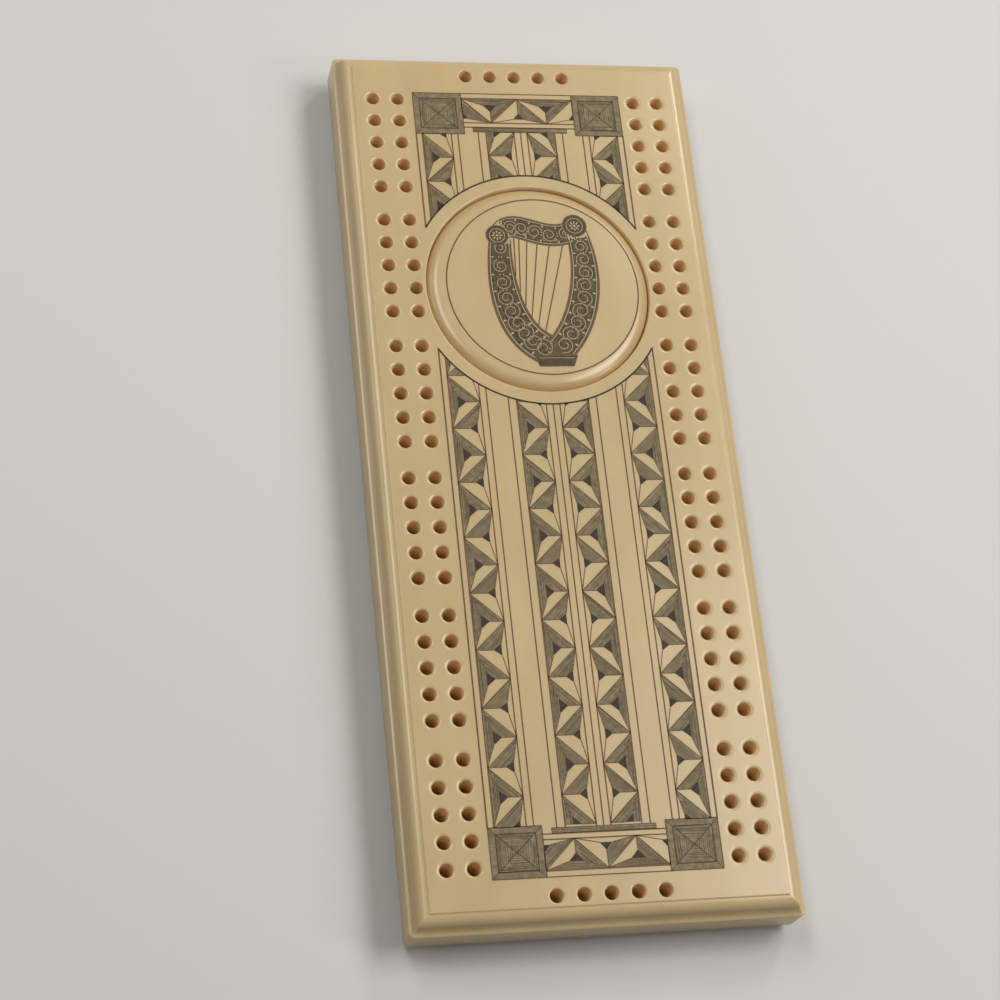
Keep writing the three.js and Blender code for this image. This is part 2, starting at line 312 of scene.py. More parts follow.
def noise(tree, scale, detail, stretch=(1, 1, 1), distortion=0.0):
    """Noise in the object's own coordinates. Its scale is in features per metre."""
    place = add_node(tree, "TexCoord", {}).outputs["Object"]
    place = add_node(tree, "Mapping", {"Vector": place, "Scale": stretch}).outputs["Vector"]
    inputs = {"Vector": place, "Scale": scale, "Detail": detail, "Distortion": distortion}
    return add_node(tree, "TexNoise", inputs).outputs["Fac"]


def blend(tree, value, dark, light, margin):
    """The dark colour up to a value of margin, the light one from 1 - margin, and both in between."""
    node = add_node(tree, "ValToRGB", {"Fac": value})
    first, last = node.color_ramp.elements
    first.position, first.color = margin, (*dark, 1)
    last.position, last.color = 1 - margin, (*light, 1)
    return node.outputs["Color"]


def spread(tree, value, low, high, start=0.0, end=1.0):
    """Takes a value that runs from start to end to one that runs from low to high."""
    inputs = {"Value": value, "From Min": start, "From Max": end, "To Min": low, "To Max": high}
    return add_node(tree, "MapRange", inputs).outputs["Result"]


def bump(tree, shader, value, strength, distance):
    node = add_node(tree, "Bump", {"Height": value, "Strength": strength, "Distance": distance})
    tree.links.new(node.outputs["Normal"], shader.inputs["Normal"])


def vector_math(tree, operation, vector, other=(0, 0, 0)):
    node = add_node(tree, "VectorMath", {0: vector, 1: other})
    node.operation = operation
    return node.outputs["Value" if operation == "LENGTH" else "Vector"]


def painted_groove_shade(tree, colour):
    """Paints shade into a colour round the medallion's groove: a warm brown darkening, none at the start
    radius and all of it at the end radius.
    """
    place = add_node(tree, "TexCoord", {}).outputs["Object"]
    offset = vector_math(tree, "SUBTRACT", place, (DISC_X * MM, DISC_Y * MM, 0))
    distance = vector_math(tree, "LENGTH", vector_math(tree, "MULTIPLY", offset, (1, 1, 0)))
    mix = tree.nodes.new("ShaderNodeMix")
    mix.data_type = "RGBA"
    share = spread(tree, distance, 0, 1, GROOVE_SHADE_START * MM, GROOVE_SHADE_END * MM)
    tree.links.new(share, mix.inputs["Factor"])
    tree.links.new(colour, mix.inputs["A"])
    mix.inputs["B"].default_value = (*GROOVE_SHADE_COLOUR, 1)
    return mix.outputs["Result"]


def ivory_material(name, light, dark, roughness, groove_shaded=False):
    """Cast resin: faintly clouded, with light moving under its surface."""
    glow = {"Subsurface Weight": 0.4, "Subsurface Scale": 0.002}
    material, tree, shader = node_material(name, light, roughness, **glow)
    shader.inputs["Subsurface Radius"].default_value = (1.0, 0.55, 0.25)
    colour = blend(tree, noise(tree, 90, 3, (1, 0.45, 1)), dark, light, 0.2)
    # The medallion's copy takes painted shade, a brown darkening round its groove.
    if groove_shaded:
        colour = painted_groove_shade(tree, colour)
    tree.links.new(colour, shader.inputs["Base Color"])
    wear = spread(tree, noise(tree, 160, 2), roughness - IVORY_WEAR, roughness + IVORY_WEAR)
    tree.links.new(wear, shader.inputs["Roughness"])
    return material


def ink_material(name, light, dark, scale=STROKE_GRAIN):
    """Ink rubbed into fine cuts: its strength varies along every stroke."""
    material, tree, shader = node_material(name, light, 0.5, **{"Specular IOR Level": 0.15})
    patches = noise(tree, scale, 4, distortion=0.3)
    tree.links.new(blend(tree, patches, dark, light, 0.32), shader.inputs["Base Color"])
    tree.links.new(spread(tree, patches, 0.42, 0.6), shader.inputs["Roughness"])
    return material


def metal_material(name, light, dark, stretch, roughness):
    material, tree, shader = node_material(name, light, roughness, 1.0)
    lines = noise(tree, 700, 4, stretch)
    tree.links.new(blend(tree, lines, dark, light, 0.35), shader.inputs["Base Color"])
    worn = spread(tree, lines, roughness - 0.07, roughness + 0.1)
    tree.links.new(worn, shader.inputs["Roughness"])
    bump(tree, shader, lines, 0.08, 0.00005)
    return material


def felt_material():
    material, tree, shader = node_material("green_felt", (0.02, 0.09, 0.05), 0.95, **{"Sheen Weight": 0.4})
    fibres = noise(tree, 3500, 6, distortion=1.5)
    colour = blend(tree, fibres, (0.01, 0.05, 0.028), (0.03, 0.13, 0.07), 0.3)
    tree.links.new(colour, shader.inputs["Base Color"])
    bump(tree, shader, fibres, 0.8, 0.0004)
    return material


def rubber_material():
    material, tree, shader = node_material("black_rubber", (0.02, 0.02, 0.02), 0.75)
    specks = noise(tree, 4000, 4)
    colour = blend(tree, specks, (0.012, 0.012, 0.012), (0.03, 0.03, 0.031), 0.3)
    tree.links.new(colour, shader.inputs["Base Color"])
    bump(tree, shader, specks, 0.3, 0.0001)
    return material


IVORY_COLOURS = (0.54, 0.415, 0.224), (0.48, 0.365, 0.19)
IVORY = ivory_material("ivory_resin", *IVORY_COLOURS, IVORY_ROUGHNESS)
# The medallion's resin, browned round its groove by painted shade.
MEDALLION = ivory_material("medallion_resin_painted_shade", *IVORY_COLOURS, IVORY_ROUGHNESS, groove_shaded=True)
# Bore walls: rougher as drilled, and lighter and warmer than the face, a painted glow of light inside the
# holes.
DRILLED_WITH_GLOW = ivory_material("drilled_resin_painted_glow", (0.8, 0.58, 0.33), (0.72, 0.5, 0.27), 0.55)
# The recess wall and the quirk's step: lighter and warmer than the face, a painted glow of light in these
# hollows.
HOLLOW_GLOW = ivory_material("sunken_resin_painted_glow", (0.8, 0.61, 0.36), (0.74, 0.55, 0.31), 0.4)
TONE = ink_material("ink_wash", (0.265, 0.215, 0.121), (0.155, 0.126, 0.07), 700)
DARK_TONE = ink_material("ink_dark_wash", (0.125, 0.097, 0.053), (0.075, 0.058, 0.033), 900)
STROKE = ink_material("ink_strokes", (0.105, 0.079, 0.044), (0.05, 0.036, 0.022))
LINE = ink_material("ink_lines", (0.2, 0.105, 0.055), (0.11, 0.055, 0.03))
BLACK = ink_material("ink_black", (0.065, 0.044, 0.03), (0.03, 0.021, 0.015))
PLATE_BRASS = metal_material("brushed_brass", (0.76, 0.53, 0.22), (0.62, 0.42, 0.16), (4, 0.12, 4), 0.33)
BRASS = metal_material("turned_brass", (0.78, 0.56, 0.24), (0.68, 0.47, 0.18), (1, 1, 6), 0.22)
STEEL = metal_material("turned_steel", (0.62, 0.63, 0.64), (0.5, 0.51, 0.52), (1, 1, 6), 0.2)
FELT = felt_material()
RUBBER = rubber_material()


# ---- Slab ----

# The places in the slab's list of materials that its bores and its hollows take; both hold painted glow.
IN_BORE, IN_HOLLOW = 1, 2


def hole_centres():
    group_step = (HOLES_PER_GROUP - 1) * PITCH + GROUP_GAP
    track_length = GROUPS * group_step - GROUP_GAP
    centres = []
    for group in range(GROUPS):
        for hole in range(HOLES_PER_GROUP):
            y = group * group_step + hole * PITCH - track_length / 2
            for x in (INNER_TRACK_X, INNER_TRACK_X + PITCH):
                centres += [(x, y), (-x, y)]
    for hole in range(HOLES_PER_GROUP):
        x = (hole - (HOLES_PER_GROUP - 1) / 2) * PITCH
        y = track_length / 2 + END_ROW_GAP
        centres += [(x, y), (x, -y)]
    return centres


def moulding_profile():
    """(inset, height) from the playing face's edge outwards and down to the underside."""
    roll_top = TOP - QUIRK_STEP
    cove_top = roll_top - ROLL_DROP
    points = arc(MOULDING_WIDTH + ARRIS, TOP - ARRIS, -ARRIS, ARRIS, 90, 0, 3)
    points += [(MOULDING_WIDTH, roll_top + ARRIS / 2), (MOULDING_WIDTH - ARRIS / 2, roll_top)]
    points += arc(MOULDING_WIDTH - ARRIS / 2, cove_top, ARRIS / 2 - ROLL_WIDTH, ROLL_DROP, 84, 0, 12)
    points += arc(0.0, cove_top, COVE_WIDTH, -COVE_DROP, 8, 82, 10)
    wall_top = cove_top - COVE_DROP
    points += arc(ARRIS, wall_top - ARRIS, -ARRIS, ARRIS, 75, 0, 3)
    points += arc(FOOT_CHAMFER, BOTTOM + FOOT_CHAMFER, -FOOT_CHAMFER, -FOOT_CHAMFER, 0, 90, 4)
    return points


def moulding_loop(inset, z):
    corner = max(CORNER_RADIUS - inset, LEAST_CORNER_RADIUS)
    return rounded_rectangle(HALF_WIDTH - inset, HALF_LENGTH - inset, corner, z)


def flat_face(solid, outer, holes):
    """Triangles of a flat face between the outer loop and the hole loops."""
    loops = [outer, *holes]
    index = [i for loop in loops for i in loop]
    flat = [Vector(solid.verts[i][:2]) for i in index]
    rings, start = [], 0
    for loop in loops:
        rings.append(list(range(start, start + len(loop))))
        start += len(loop)
    sides = [side for ring in rings for side in edges(ring)]
    _, _, faces, origins, _, face_origins = delaunay_2d_cdt(flat, sides, rings, 1, 1e-7)
    for face, sources in zip(faces, face_origins):
        if sources == [0]:
            solid.face([index[origins[corner][0]] for corner in face])


def peg_hole(solid, x, y):
    """The loops of one hole with a rounded mouth. Returns its loop in the playing face."""
    to_recess = math.hypot(x - DISC_X, y - DISC_Y) - RECESS_RADIUS - LIP
    to_edge = min(HALF_WIDTH - abs(x), HALF_LENGTH - abs(y)) - FACE_INSET
    mouth_radius = min(HOLE_MOUTH_RADIUS, min(to_recess, to_edge) - 3 * RIM_FLAT)
    wide = mouth_radius - HOLE_RADIUS
    rim = last = solid.loop(circle(x, y, mouth_radius + RIM_FLAT, TOP, HOLE_SIDES))
    for radius, z in arc(mouth_radius, TOP - HOLE_MOUTH_DROP, -wide, HOLE_MOUTH_DROP, 90, 0, 8):
        last = solid.extend(last, circle(x, y, radius, z, HOLE_SIDES))
    # The bore walls take the drilled material with its painted glow.
    for depth in (HOLE_DEPTH * 0.5, HOLE_DEPTH - HOLE_CONE):
        last = solid.extend(last, circle(x, y, HOLE_RADIUS, TOP - depth, HOLE_SIDES), IN_BORE)
    solid.fan(last, (x, y, TOP - HOLE_DEPTH), IN_BORE)
    return rim


def recess(solid):
    """The medallion's recess, with a softened lip. Returns its loop in the playing face."""
    rim = last = solid.loop(circle(DISC_X, DISC_Y, RECESS_RADIUS + LIP + RIM_FLAT, TOP, ROUND_SIDES))
    lip = arc(RECESS_RADIUS + LIP, TOP - LIP, -LIP, LIP, 90, 0, 6)
    for radius, z in lip[:-1]:
        last = solid.extend(last, circle(DISC_X, DISC_Y, radius, z, ROUND_SIDES))
    # The recess wall and floor take the hollow material with its painted glow.
    for z in (TOP - LIP, TOP - RECESS_DEPTH):
        last = solid.extend(last, circle(DISC_X, DISC_Y, RECESS_RADIUS, z, ROUND_SIDES), IN_HOLLOW)
    solid.fan(last, (DISC_X, DISC_Y, TOP - RECESS_DEPTH), IN_HOLLOW)
    return rim


def pocket(solid):
    """The peg pocket, up from its rounded mouth to just above the felt. Returns its loop in the
    underside."""
    gap, corner, ease = 0.1, 2.8, 0.4
    half_x, half_y = LINER.half.x + gap, LINER.half.y + gap
    y, ceiling = LINER.middle.y, LINER.high.z + gap

    def outline(grow, z):
        return rounded_rectangle(half_x + grow, half_y + grow, corner + grow, z, 0, y)

    mouth = last = solid.loop(outline(ease + RIM_FLAT, BOTTOM))
    for grow, rise in arc(ease, ease, -ease, -ease, 90, 0, 4):
        last = solid.extend(last, outline(grow, BOTTOM + rise))
    solid.fan(solid.extend(last, outline(0, ceiling)), (0, y, ceiling))
    return mouth


def insert_bore(solid, node):
    """The bore round a brass insert. Returns its loop in the underside."""
    box = Box(node)
    x, y, radius, end, sides = box.middle.x, box.middle.y, box.half.x + 0.05, box.high.z + 0.2, 48
    mouth = solid.loop(circle(x, y, radius, BOTTOM, sides))
    solid.fan(solid.extend(mouth, circle(x, y, radius, end, sides)), (x, y, end))
    return mouth


def slab():
    solid = Solid()
    face_edge = last = solid.loop(moulding_loop(FACE_INSET, TOP))
    for inset, z in moulding_profile():
        # The quirk's step takes the hollow material with its painted glow.
        in_quirk = MOULDING_WIDTH - ARRIS / 2 <= inset <= MOULDING_WIDTH and z < TOP
        last = solid.extend(last, moulding_loop(inset, z), IN_HOLLOW if in_quirk else 0)
    underside = solid.extend(last, moulding_loop(FOOT_CHAMFER + 0.1, BOTTOM))
    holes = [peg_hole(solid, x, y) for x, y in hole_centres()]
    flat_face(solid, face_edge, [*holes, recess(solid)])
    mouths = [pocket(solid), insert_bore(solid, "pivot_insert"), insert_bore(solid, "keeper_insert")]
    flat_face(solid, underside, mouths)
    solid.piece("slab", [IVORY, DRILLED_WITH_GLOW, HOLLOW_GLOW], "ivory_resin", nodes=["board_slab"])


def disc_height(x, y):
    """The height of the disc's face above the playing face, at a place measured from its centre."""
    share = min(math.hypot(x, y) / SHOULDER_RADIUS, 1.0)
    return DISC_CROWN + (SHOULDER_HEIGHT - DISC_CROWN) * share**2


def disc():
    bottom, rim, ease, crown_steps = DISC.low.z, DISC_RADIUS + 0.2, 0.4, 12
    profile = [(0, bottom), (rim - ease, bottom), (rim, bottom + ease)]
    width, height = rim - SHOULDER_RADIUS, GROOVE_DROP + SHOULDER_HEIGHT
    profile += arc(SHOULDER_RADIUS, TOP - GROOVE_DROP, width, height, 0, 90, 28)
    for i in range(crown_steps - 1, -1, -1):
        radius = SHOULDER_RADIUS * i / crown_steps
        profile.append((radius, TOP + disc_height(radius, 0)))
    lathe("medallion", "medallion_disc", profile, ROUND_SIDES, MEDALLION, "ivory_resin")


# ---- Flat shapes for the ink ----


def clip(polygon, point, normal):
    """The part of a convex polygon on the side of a line that its normal points to."""
    kept = []
    for a, b in edges(polygon):
        da = (a[0] - point[0]) * normal[0] + (a[1] - point[1]) * normal[1]
        db = (b[0] - point[0]) * normal[0] + (b[1] - point[1]) * normal[1]
        if da >= 0:
            kept.append(a)
        if (da > 0 > db) or (da < 0 < db):
            share = da / (da - db)
            kept.append((a[0] + (b[0] - a[0]) * share, a[1] + (b[1] - a[1]) * share))
    return kept if len(kept) > 2 and abs(area(kept)) > 1e-4 else []


def area(polygon):
    """Positive where the corners go round anticlockwise."""
    return sum(ax * by - bx * ay for (ax, ay), (bx, by) in edges(polygon)) / 2


def outside_circle(polygon):
    """Convex pieces of the polygon that lie outside the ink circle round the medallion."""
    reach = [math.hypot(x - DISC_X, y - DISC_Y) for x, y in polygon]
    if min(reach) > INK_CIRCLE_RADIUS and not crosses_circle(polygon):
        return [polygon]
    if max(reach) < INK_CIRCLE_RADIUS:
        return []
    pieces, rest = [], polygon
    step = 2 * math.pi / INK_CIRCLE_SIDES
    flat = INK_CIRCLE_RADIUS * math.cos(step / 2)
    for i in range(INK_CIRCLE_SIDES):
        angle = (i + 0.5) * step
        normal, point = polar(0, 0, 1, angle), polar(DISC_X, DISC_Y, flat, angle)
        outer = clip(rest, point, normal)
        if outer:
            pieces.append(outer)
        rest = clip(rest, point, (-normal[0], -normal[1]))
        if not rest:
            break
    return pieces


def crosses_circle(polygon):
    """Whether an edge of a polygon whose corners are all outside still passes through the circle."""
    for a, b in edges(polygon):
        edge = (b[0] - a[0], b[1] - a[1])
        length = edge[0] ** 2 + edge[1] ** 2
        along = -((a[0] - DISC_X) * edge[0] + (a[1] - DISC_Y) * edge[1]) / max(length, 1e-9)
        along = min(max(along, 0), 1)
        near = math.hypot(a[0] + along * edge[0] - DISC_X, a[1] + along * edge[1] - DISC_Y)
        if near < INK_CIRCLE_RADIUS:
            return True
    return False


def stripe(a, b, width, far_width=None):
    """A straight stroke from a to b as a four-cornered polygon."""
    far_width = width if far_width is None else far_width
    dx, dy = b[0] - a[0], b[1] - a[1]
    length = math.hypot(dx, dy) or 1.0
    nx, ny = -dy / length / 2, dx / length / 2
    return [
        (a[0] - nx * width, a[1] - ny * width),
        (b[0] - nx * far_width, b[1] - ny * far_width),
        (b[0] + nx * far_width, b[1] + ny * far_width),
        (a[0] + nx * width, a[1] + ny * width),
    ]


def inside_polygon(shape, polygon):
    """A convex shape cut to a convex polygon."""
    side = 1 if area(polygon) > 0 else -1
    for a, b in edges(polygon):
        normal = (-(b[1] - a[1]) * side, (b[0] - a[0]) * side)
        if shape:
            shape = clip(shape, a, normal)
    return shape


def hatch(polygon, direction, spacing, heavy, dice):
    """Fine strokes across a convex polygon along a direction, uneven as cut by hand."""
    length = math.hypot(*direction)
    dx, dy = direction[0] / length, direction[1] / length
    nx, ny = -dy, dx
    across = [x * nx + y * ny for x, y in polygon]
    along = [x * dx + y * dy for x, y in polygon]
    low, high = min(along) - 1, max(along) + 1
    strokes = []
    offset = min(across) + spacing * dice.uniform(0.2, 0.8)
    while offset < max(across):
        lean = dice.uniform(-0.12, 0.12)
        start = low + (high - low) * max(dice.uniform(-0.6, 0.35), 0)
        end = high - (high - low) * max(dice.uniform(-0.6, 0.35), 0)
        a = (dx * start + nx * (offset - lean), dy * start + ny * (offset - lean))
        b = (dx * end + nx * (offset + lean), dy * end + ny * (offset + lean))
        width = spacing * heavy * dice.uniform(0.45, 1.2)
        stroke = inside_polygon(stripe(a, b, width, width * dice.uniform(0.4, 1.0)), polygon)
        if stroke:
            strokes.append(stroke)
        offset += spacing * dice.uniform(0.75, 1.3)
    return strokes


def prisms(name, polygons, height, material, drape=None, slot="scrimshaw_ink"):
    """Thin closed solids from flat convex polygons, sunk into the face with their tops just proud."""
    solid = Solid()
    for polygon in polygons:
        face = [(x, y, TOP + (drape(x - DISC_X, y - DISC_Y) if drape else 0)) for x, y in polygon]
        top = solid.loop([(x, y, z + height) for x, y, z in face])
        root = solid.loop([(x, y, z - INK_ROOT) for x, y, z in face])
        solid.bridge(root, top)
        solid.face(top)
        solid.face(root[::-1])
    return solid.piece(name, [material], slot, sharp=20)


# ---- Scrimshaw panel ----


class Ink:
    """The panel's shapes, sorted by how dark they are."""

    def __init__(self, seed):
        self.tone, self.stroke, self.line, self.black = [], [], [], []
        self.dice = random.Random(seed)

    def shade(self, polygon, direction, hatching):
        self.tone.append(polygon)
        self.stroke += hatch(polygon, direction, *hatching, self.dice)

    def rule(self, a, b, width=RULED_LINE):
        self.line.append(stripe(a, b, width))


def star_band(ink, place, cell, count, first_side):
    """A row of faceted star points. place(u, v) gives the point u along and v (0 to 1) across the band;
    the vertices lie every `cell` along it, on alternate sides, the first on first_side. The ledge at
    v = 1 is shaded."""

    def at(u, v, side):
        u = min(max(u, 0), count)
        return place(u * cell, v if side == 0 else 1 - v)

    def notch(side):
        return SHADED_NOTCH if side == 0 else PLAIN_NOTCH

    def direction(a, b):
        return (b[0] - a[0], b[1] - a[1])

    along = direction(place(0, 0), place(cell, 0))
    for k in range(count):
        side = (first_side + k) % 2
        start, end = at(k, 0, side), at(k + 1, 1, side)
        spine, flare, base = notch(1 - side)
        low, tip = at(k + 1 - flare, 1 - base, side), at(k + 1, 1 - spine, side)
        ink.shade([start, low, tip, end], direction(start, end), POINT_HATCH)
        ink.rule(start, end, OUTLINE)
        ink.rule(start, low, OUTLINE)
        _, flare, base = notch(side)
        ink.rule(at(k + flare, base, side), end, OUTLINE)
    for k in range(count + 1):
        side = (first_side + k) % 2
        spine, flare, base = notch(side)
        tip = at(k, spine, side)
        left, right = at(k - flare, base, side), at(k + flare, base, side)
        ink.black.append([tip, left, right])
        ink.rule(at(k, 0, side), tip, OUTLINE)
        if side == 0:
            ledge = [at(k - 1, 1, side), left, right, at(k + 1, 1, side)]
            ink.shade(ledge, along, STAR_LEDGE_HATCH)


def boss(ink, x, y, side_x, side_y):
    """A square corner block drawn as a framed pyramid, growing from its inner corner."""

    def corner(a, b):
        return (x + side_x * a, y + side_y * b)

    def square(margin):
        far_x, far_y = BOSS_X - margin, BOSS_Y - margin
        return [corner(margin, margin), corner(far_x, margin), corner(far_x, far_y), corner(margin, far_y)]

    outer, inner, core = square(0), square(BOSS_FRAME), square(BOSS_FRAME + BOSS_BORDER)
    middle = corner(BOSS_X / 2, BOSS_Y / 2)
    for i in range(4):
        j = (i + 1) % 4
        edge = (outer[j][0] - outer[i][0], outer[j][1] - outer[i][1])
        ink.shade([outer[i], outer[j], inner[j], inner[i]], (edge[1], -edge[0]), FRAME_HATCH)
        ink.shade([inner[i], inner[j], core[j], core[i]], edge, BORDER_HATCH)
        ink.shade([core[i], core[j], middle], edge, PYRAMID_HATCH)
        ink.rule(outer[i], outer[j], END_BORDER)
        ink.black.append(stripe(outer[i], inner[i], BOSS_MITRE))
        ink.black.append(stripe(inner[i], middle, BOSS_RIDGE))
        ink.stroke.append(stripe(inner[i], inner[j], BOSS_RIM))


def panel():
    ink = Ink(PANEL_SEED)
    boss_x, boss_y = PANEL_X - BOSS_X, PANEL_Y - BOSS_Y
    for sx in (-1, 1):
        for sy in (-1, 1):
            boss(ink, sx * boss_x, sy * boss_y, sx, sy)
    for sx in (-1, 1):
        ink.rule((sx * PANEL_X, -boss_y), (sx * PANEL_X, boss_y), SIDE_BORDER)
        for x in RULED_X:
            end = boss_y if x > boss_x else LEDGE_Y[0]
            ink.rule((sx * x, -end), (sx * x, end))
    ink.rule((0, -LEDGE_Y[0]), (0, LEDGE_Y[0]))
    for sy in (-1, 1):
        ink.rule((-boss_x, sy * PANEL_Y), (boss_x, sy * PANEL_Y), END_BORDER)
        for y in RULED_Y:
            ink.rule((-boss_x, sy * y), (boss_x, sy * y))
        ends = [(-LEDGE_X, sy * LEDGE_Y[0]), (LEDGE_X, sy * LEDGE_Y[0])]
        ledge = ends + [(LEDGE_X, sy * LEDGE_Y[1]), (-LEDGE_X, sy * LEDGE_Y[1])]
        ink.shade(ledge, (1, 0), LEDGE_HATCH)
        for a, b in edges(ledge):
            ink.rule(a, b, OUTLINE)
    bands(ink, boss_x, boss_y)
    shapes = {}
    for kind in ("tone", "stroke", "line", "black"):
        polygons = []
        for polygon in getattr(ink, kind):
            polygons += outside_circle([(x, y + PANEL_SHIFT) for x, y in polygon])
        shapes[kind] = [p for p in polygons if abs(area(p)) > 1e-3]
    shapes["black"] += circle_line(INK_CIRCLE_RADIUS, CIRCLE_LINE, PANEL_X)
    prisms("panel_wash", shapes["tone"], TONE_HEIGHT, TONE)
    prisms("panel_hatching", shapes["stroke"], STROKE_HEIGHT, STROKE)
    prisms("panel_lines", shapes["line"], LINE_HEIGHT, LINE)
    prisms("panel_black", shapes["black"], LINE_HEIGHT, BLACK)


def bands(ink, boss_x, boss_y):
    """The side bands, in a piece above the medallion and a piece below it, and the two end bands."""
    for sx in (-1, 1):
        for (low, high), start, first_side in ((OUTER_BAND, boss_y, 1), (INNER_BAND, LEDGE_Y[0], 0)):
            for top, cell, cells, skipped in (
                (start, UPPER_CELL, UPPER_CELLS, 0),
                (LOWER_END + LOWER_CELLS * LOWER_CELL, LOWER_CELL, LOWER_CELLS, 1),
            ):
                star_band(
                    ink, lambda u, v: (sx * (low + v * (high - low)), top - u),
                    cell, cells, (first_side + skipped) % 2,
                )
    for sy in (-1, 1):
        low, high = END_BAND
        star_band(
            ink, lambda u, v: (boss_x - u, sy * (low + v * (high - low))),
            2 * boss_x / END_CELLS, END_CELLS, 1,
        )


def ring_quads(x, y, radius, width, angles):
    """The quads of a ring or part of one, between angles that follow each other."""
    inner, outer = radius - width / 2, radius + width / 2
    quads = []
    for a, b in zip(angles, angles[1:]):
        corners = ((inner, a), (outer, a), (outer, b), (inner, b))
        quads.append([polar(x, y, *corner) for corner in corners])
    return quads


def circle_line(radius, width, half_window):
    """The ink circle's two arcs, each between the panel's side borders."""
    start, steps = math.acos(half_window / radius), 72
    quads = []
    for offset in (0, math.pi):
        angles = [offset + start + (math.pi - 2 * start) * k / steps for k in range(steps + 1)]
        quads += ring_quads(DISC_X, DISC_Y, radius, width, angles)
    return quads


# ---- Medallion's engraving: an inked circle round a small harp ----

MEDALLION_CIRCLE = 24.3
CIRCLE_SHIFT = (1.0, 0.3)
STRINGS = 6
# The round ends of the harp's neck: x, y and radius, measured from the medallion's centre.
SCROLL, CAPITAL = (-9.3, 14.3, 2.9), (10.9, 17.2, 3.2)


def bezier(a, b, c, d):
    """A cubic curve: gives the point and the left-hand unit normal at t."""

    def at(t):
        s = 1 - t
        x, y = (
            s**3 * a[i] + 3 * s * s * t * b[i] + 3 * s * t * t * c[i] + t**3 * d[i]
            for i in (0, 1)
        )
        dx, dy = (
            s * s * (b[i] - a[i]) + 2 * s * t * (c[i] - b[i]) + t * t * (d[i] - c[i])
            for i in (0, 1)
        )
        length = math.hypot(dx, dy)
        return (x, y), (-dy / length, dx / length)

    return at


class Limb:
    """A curved, tapering member of the harp. across is -1 on its right edge and 1 on its left."""

    STEPS = 36

    def __init__(self, curve, start_width, end_width, belly):
        self.curve = curve
        self.start, self.end, self.belly = start_width / 2, end_width / 2, belly / 2

    def at(self, t, across):
        (x, y), (nx, ny) = self.curve(t)
        half = self.start + (self.end - self.start) * t + self.belly * math.sin(math.pi * t)
        return (x + nx * half * across, y + ny * half * across)

    def outline(self):
        shares = [i / self.STEPS for i in range(self.STEPS + 1)]
        return [self.at(t, -1) for t in shares] + [self.at(t, 1) for t in reversed(shares)]

    def strip(self, low, high):
        """Quads that follow the member between two places across it."""
        quads = []
        for i in range(self.STEPS):
            a, b = i / self.STEPS, (i + 1) / self.STEPS
            quads.append([self.at(a, low), self.at(b, low), self.at(b, high), self.at(a, high)])
        return quads


def annulus(x, y, radius, width, sides):
    return ring_quads(x, y, radius, width, [2 * math.pi * k / sides for k in range(sides + 1)])


def spot(x, y, radius, sides=12):
    return [point[:2] for point in circle(x, y, radius, 0, sides)]


def leaf(x, y, angle, length):
    """A pointed leaf as a four-cornered shape."""
    dx, dy = math.cos(angle), math.sin(angle)
    wide, belly = 0.26 * length, 0.45
    return [
        (x, y),
        (x + dx * length * belly - dy * wide, y + dy * length * belly + dx * wide),
        (x + dx * length, y + dy * length),
        (x + dx * length * belly + dy * wide, y + dy * length * belly - dx * wide),
    ]


